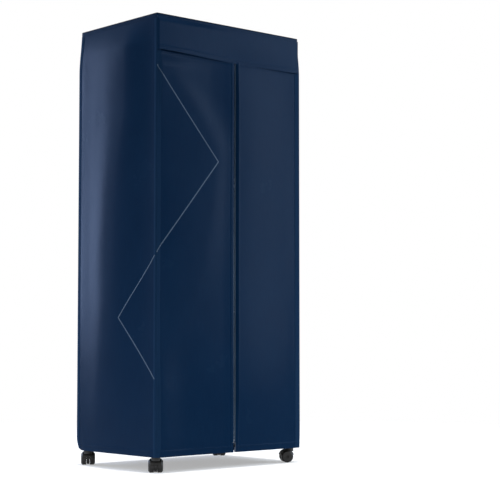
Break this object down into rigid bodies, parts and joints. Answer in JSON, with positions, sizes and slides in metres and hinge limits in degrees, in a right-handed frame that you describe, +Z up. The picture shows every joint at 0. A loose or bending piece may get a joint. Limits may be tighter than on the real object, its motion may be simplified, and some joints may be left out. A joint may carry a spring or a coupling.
{
  "type": "portable clothes dryer",
  "caption": "Free-standing fabric clothes dryer: tube hanging frame on casters, zipped cloth cover with front flaps and a warm-air blower on the base rails.",
  "frame": {"origin": "on the floor under the middle of the cover", "axes": "+Z up, +X to the viewer's right when facing the zip, -Y toward the viewer, out of the front flaps"},
  "size_m": [0.7218, 0.5083, 1.7],
  "materials": {
    "cover_cloth": "woven navy polyester, matt",
    "zip_tape": "grey-green tape and coil",
    "zip_metal": "dark plated",
    "tube_chrome": "polished",
    "bracket_grey": "moulded grey",
    "caster_black": "moulded black",
    "wheel_black": "smooth",
    "bracket_steel": "plain",
    "heater_white": "satin white",
    "heater_black": "moulded black",
    "heating_ceramic": "finned ceramic block",
    "motor_metal": "plated can",
    "display_dark": "clear gloss over black",
    "board_green": "circuit board",
    "button_grey": "soft grey"
  },
  "bodies": {
    "frame": {"base_bracket_left": "bracket_grey", "base_bracket_right": "bracket_grey", "lower_bracket_left": "bracket_grey", "lower_bracket_right": "bracket_grey", "middle_bracket_left": "bracket_grey", "middle_bracket_right": "bracket_grey", "top_bracket_left": "bracket_grey", "top_bracket_right": "bracket_grey", "post_front_left": "tube_chrome", "post_front_right": "tube_chrome", "post_rear_left": "tube_chrome", "post_rear_right": "tube_chrome", "base_rails": "tube_chrome", "lower_rails": "tube_chrome", "middle_rails": "tube_chrome", "top_rails": "tube_chrome"},
    "cover": {"cover_top_panel": "cover_cloth", "cover_back_panel": "cover_cloth", "cover_left_panel": "cover_cloth", "cover_right_panel": "cover_cloth", "cover_header": "cover_cloth", "cover_valance": "cover_cloth"},
    "left_flap": {"front_left_flap": "cover_cloth", "zip_tape_left": "zip_tape"},
    "right_flap": {"front_right_flap": "cover_cloth", "zip_tape_right": "zip_tape"},
    "zip_slider": {"zip_slider": "zip_metal"},
    "zip_pull": {"zip_pull": "zip_metal"},
    "heater": {"rail_clips": "heater_black", "heater_base": "heater_black", "intake_grille": "heater_black", "heater_body": "heater_white", "heating_disc": "heating_ceramic", "outlet_cage": "heater_black", "outlet_cap": "heater_black", "motor_bracket": "bracket_steel", "fan_motor": "motor_metal", "control_panel": "heater_black", "display_window": "display_dark", "control_board": "board_green", "power_inlet": "heater_black", "bracket_screws": "bracket_steel"},
    "fan": {"fan_impeller": "heater_black", "motor_shaft": "bracket_steel"},
    "power_button": {"power_button": "button_grey"},
    "timer_button": {"timer_button": "button_grey"},
    "mode_button": {"mode_button": "button_grey"},
    "caster_front_left": {"caster_hood_front_left": "caster_black", "caster_axle_front_left": "bracket_steel"},
    "wheels_front_left": {"caster_wheels_front_left": "wheel_black"},
    "caster_front_right": {"caster_hood_front_right": "caster_black", "caster_axle_front_right": "bracket_steel"},
    "wheels_front_right": {"caster_wheels_front_right": "wheel_black"},
    "caster_rear_left": {"caster_hood_rear_left": "caster_black", "caster_axle_rear_left": "bracket_steel"},
    "wheels_rear_left": {"caster_wheels_rear_left": "wheel_black"},
    "caster_rear_right": {"caster_hood_rear_right": "caster_black", "caster_axle_rear_right": "bracket_steel"},
    "wheels_rear_right": {"caster_wheels_rear_right": "wheel_black"}
  },
  "joints": [
    {"name": "cover_lift", "type": "slide", "parent": "frame", "child": "cover", "axis": [0, 0, 1], "range_m": [0, 1.68]},
    {"name": "left_flap_hinge", "type": "hinge", "parent": "cover", "child": "left_flap", "pos_m": [-0.3416, -0.243, 0.8], "axis": [0, 0, -1], "range_deg": [0, 120]},
    {"name": "right_flap_hinge", "type": "hinge", "parent": "cover", "child": "right_flap", "pos_m": [0.3416, -0.243, 0.8], "axis": [0, 0, 1], "range_deg": [0, 120]},
    {"name": "zip_slide", "type": "slide", "parent": "left_flap", "child": "zip_slider", "axis": [0, 0, 1], "range_m": [0, 1.464]},
    {"name": "zip_pull_swing", "type": "hinge", "parent": "zip_slider", "child": "zip_pull", "pos_m": [0.021, -0.24715, 0.0845], "axis": [-1, 0, 0], "range_deg": [0, 150]},
    {"name": "heater_lift", "type": "slide", "parent": "frame", "child": "heater", "axis": [0, 0, 1], "range_m": [0, 0.25]},
    {"name": "fan_spin", "type": "hinge", "parent": "heater", "child": "fan", "pos_m": [0, 0, 0.176], "axis": [0, 0, 1], "continuous": true},
    {"name": "power_press", "type": "slide", "parent": "heater", "child": "power_button", "axis": [0, 1, 0], "range_m": [0, 0.001], "stiffness_N_per_m": 400},
    {"name": "timer_press", "type": "slide", "parent": "heater", "child": "timer_button", "axis": [0, 1, 0], "range_m": [0, 0.001], "stiffness_N_per_m": 400},
    {"name": "mode_press", "type": "slide", "parent": "heater", "child": "mode_button", "axis": [0, 1, 0], "range_m": [0, 0.001], "stiffness_N_per_m": 400},
    {"name": "swivel_front_left", "type": "hinge", "parent": "frame", "child": "caster_front_left", "pos_m": [-0.3354, -0.2144, 0.05], "axis": [0, 0, 1], "continuous": true},
    {"name": "roll_front_left", "type": "hinge", "parent": "caster_front_left", "child": "wheels_front_left", "pos_m": [-0.32835, -0.20469, 0.024], "axis": [0.809, -0.5878, 0], "continuous": true},
    {"name": "swivel_front_right", "type": "hinge", "parent": "frame", "child": "caster_front_right", "pos_m": [0.3354, -0.2144, 0.05], "axis": [0, 0, 1], "continuous": true},
    {"name": "roll_front_right", "type": "hinge", "parent": "caster_front_right", "child": "wheels_front_right", "pos_m": [0.32501, -0.2084, 0.024], "axis": [0.5, 0.866, 0], "continuous": true},
    {"name": "swivel_rear_left", "type": "hinge", "parent": "frame", "child": "caster_rear_left", "pos_m": [-0.3354, 0.2144, 0.05], "axis": [0, 0, 1], "continuous": true},
    {"name": "roll_rear_left", "type": "hinge", "parent": "caster_rear_left", "child": "wheels_rear_left", "pos_m": [-0.32835, 0.22411, 0.024], "axis": [0.809, -0.5878, 0], "continuous": true},
    {"name": "swivel_rear_right", "type": "hinge", "parent": "frame", "child": "caster_rear_right", "pos_m": [0.3354, 0.2144, 0.05], "axis": [0, 0, 1], "continuous": true},
    {"name": "roll_rear_right", "type": "hinge", "parent": "caster_rear_right", "child": "wheels_rear_right", "pos_m": [0.32692, 0.20591, 0.024], "axis": [-0.7071, 0.7071, 0], "continuous": true}
  ]
}
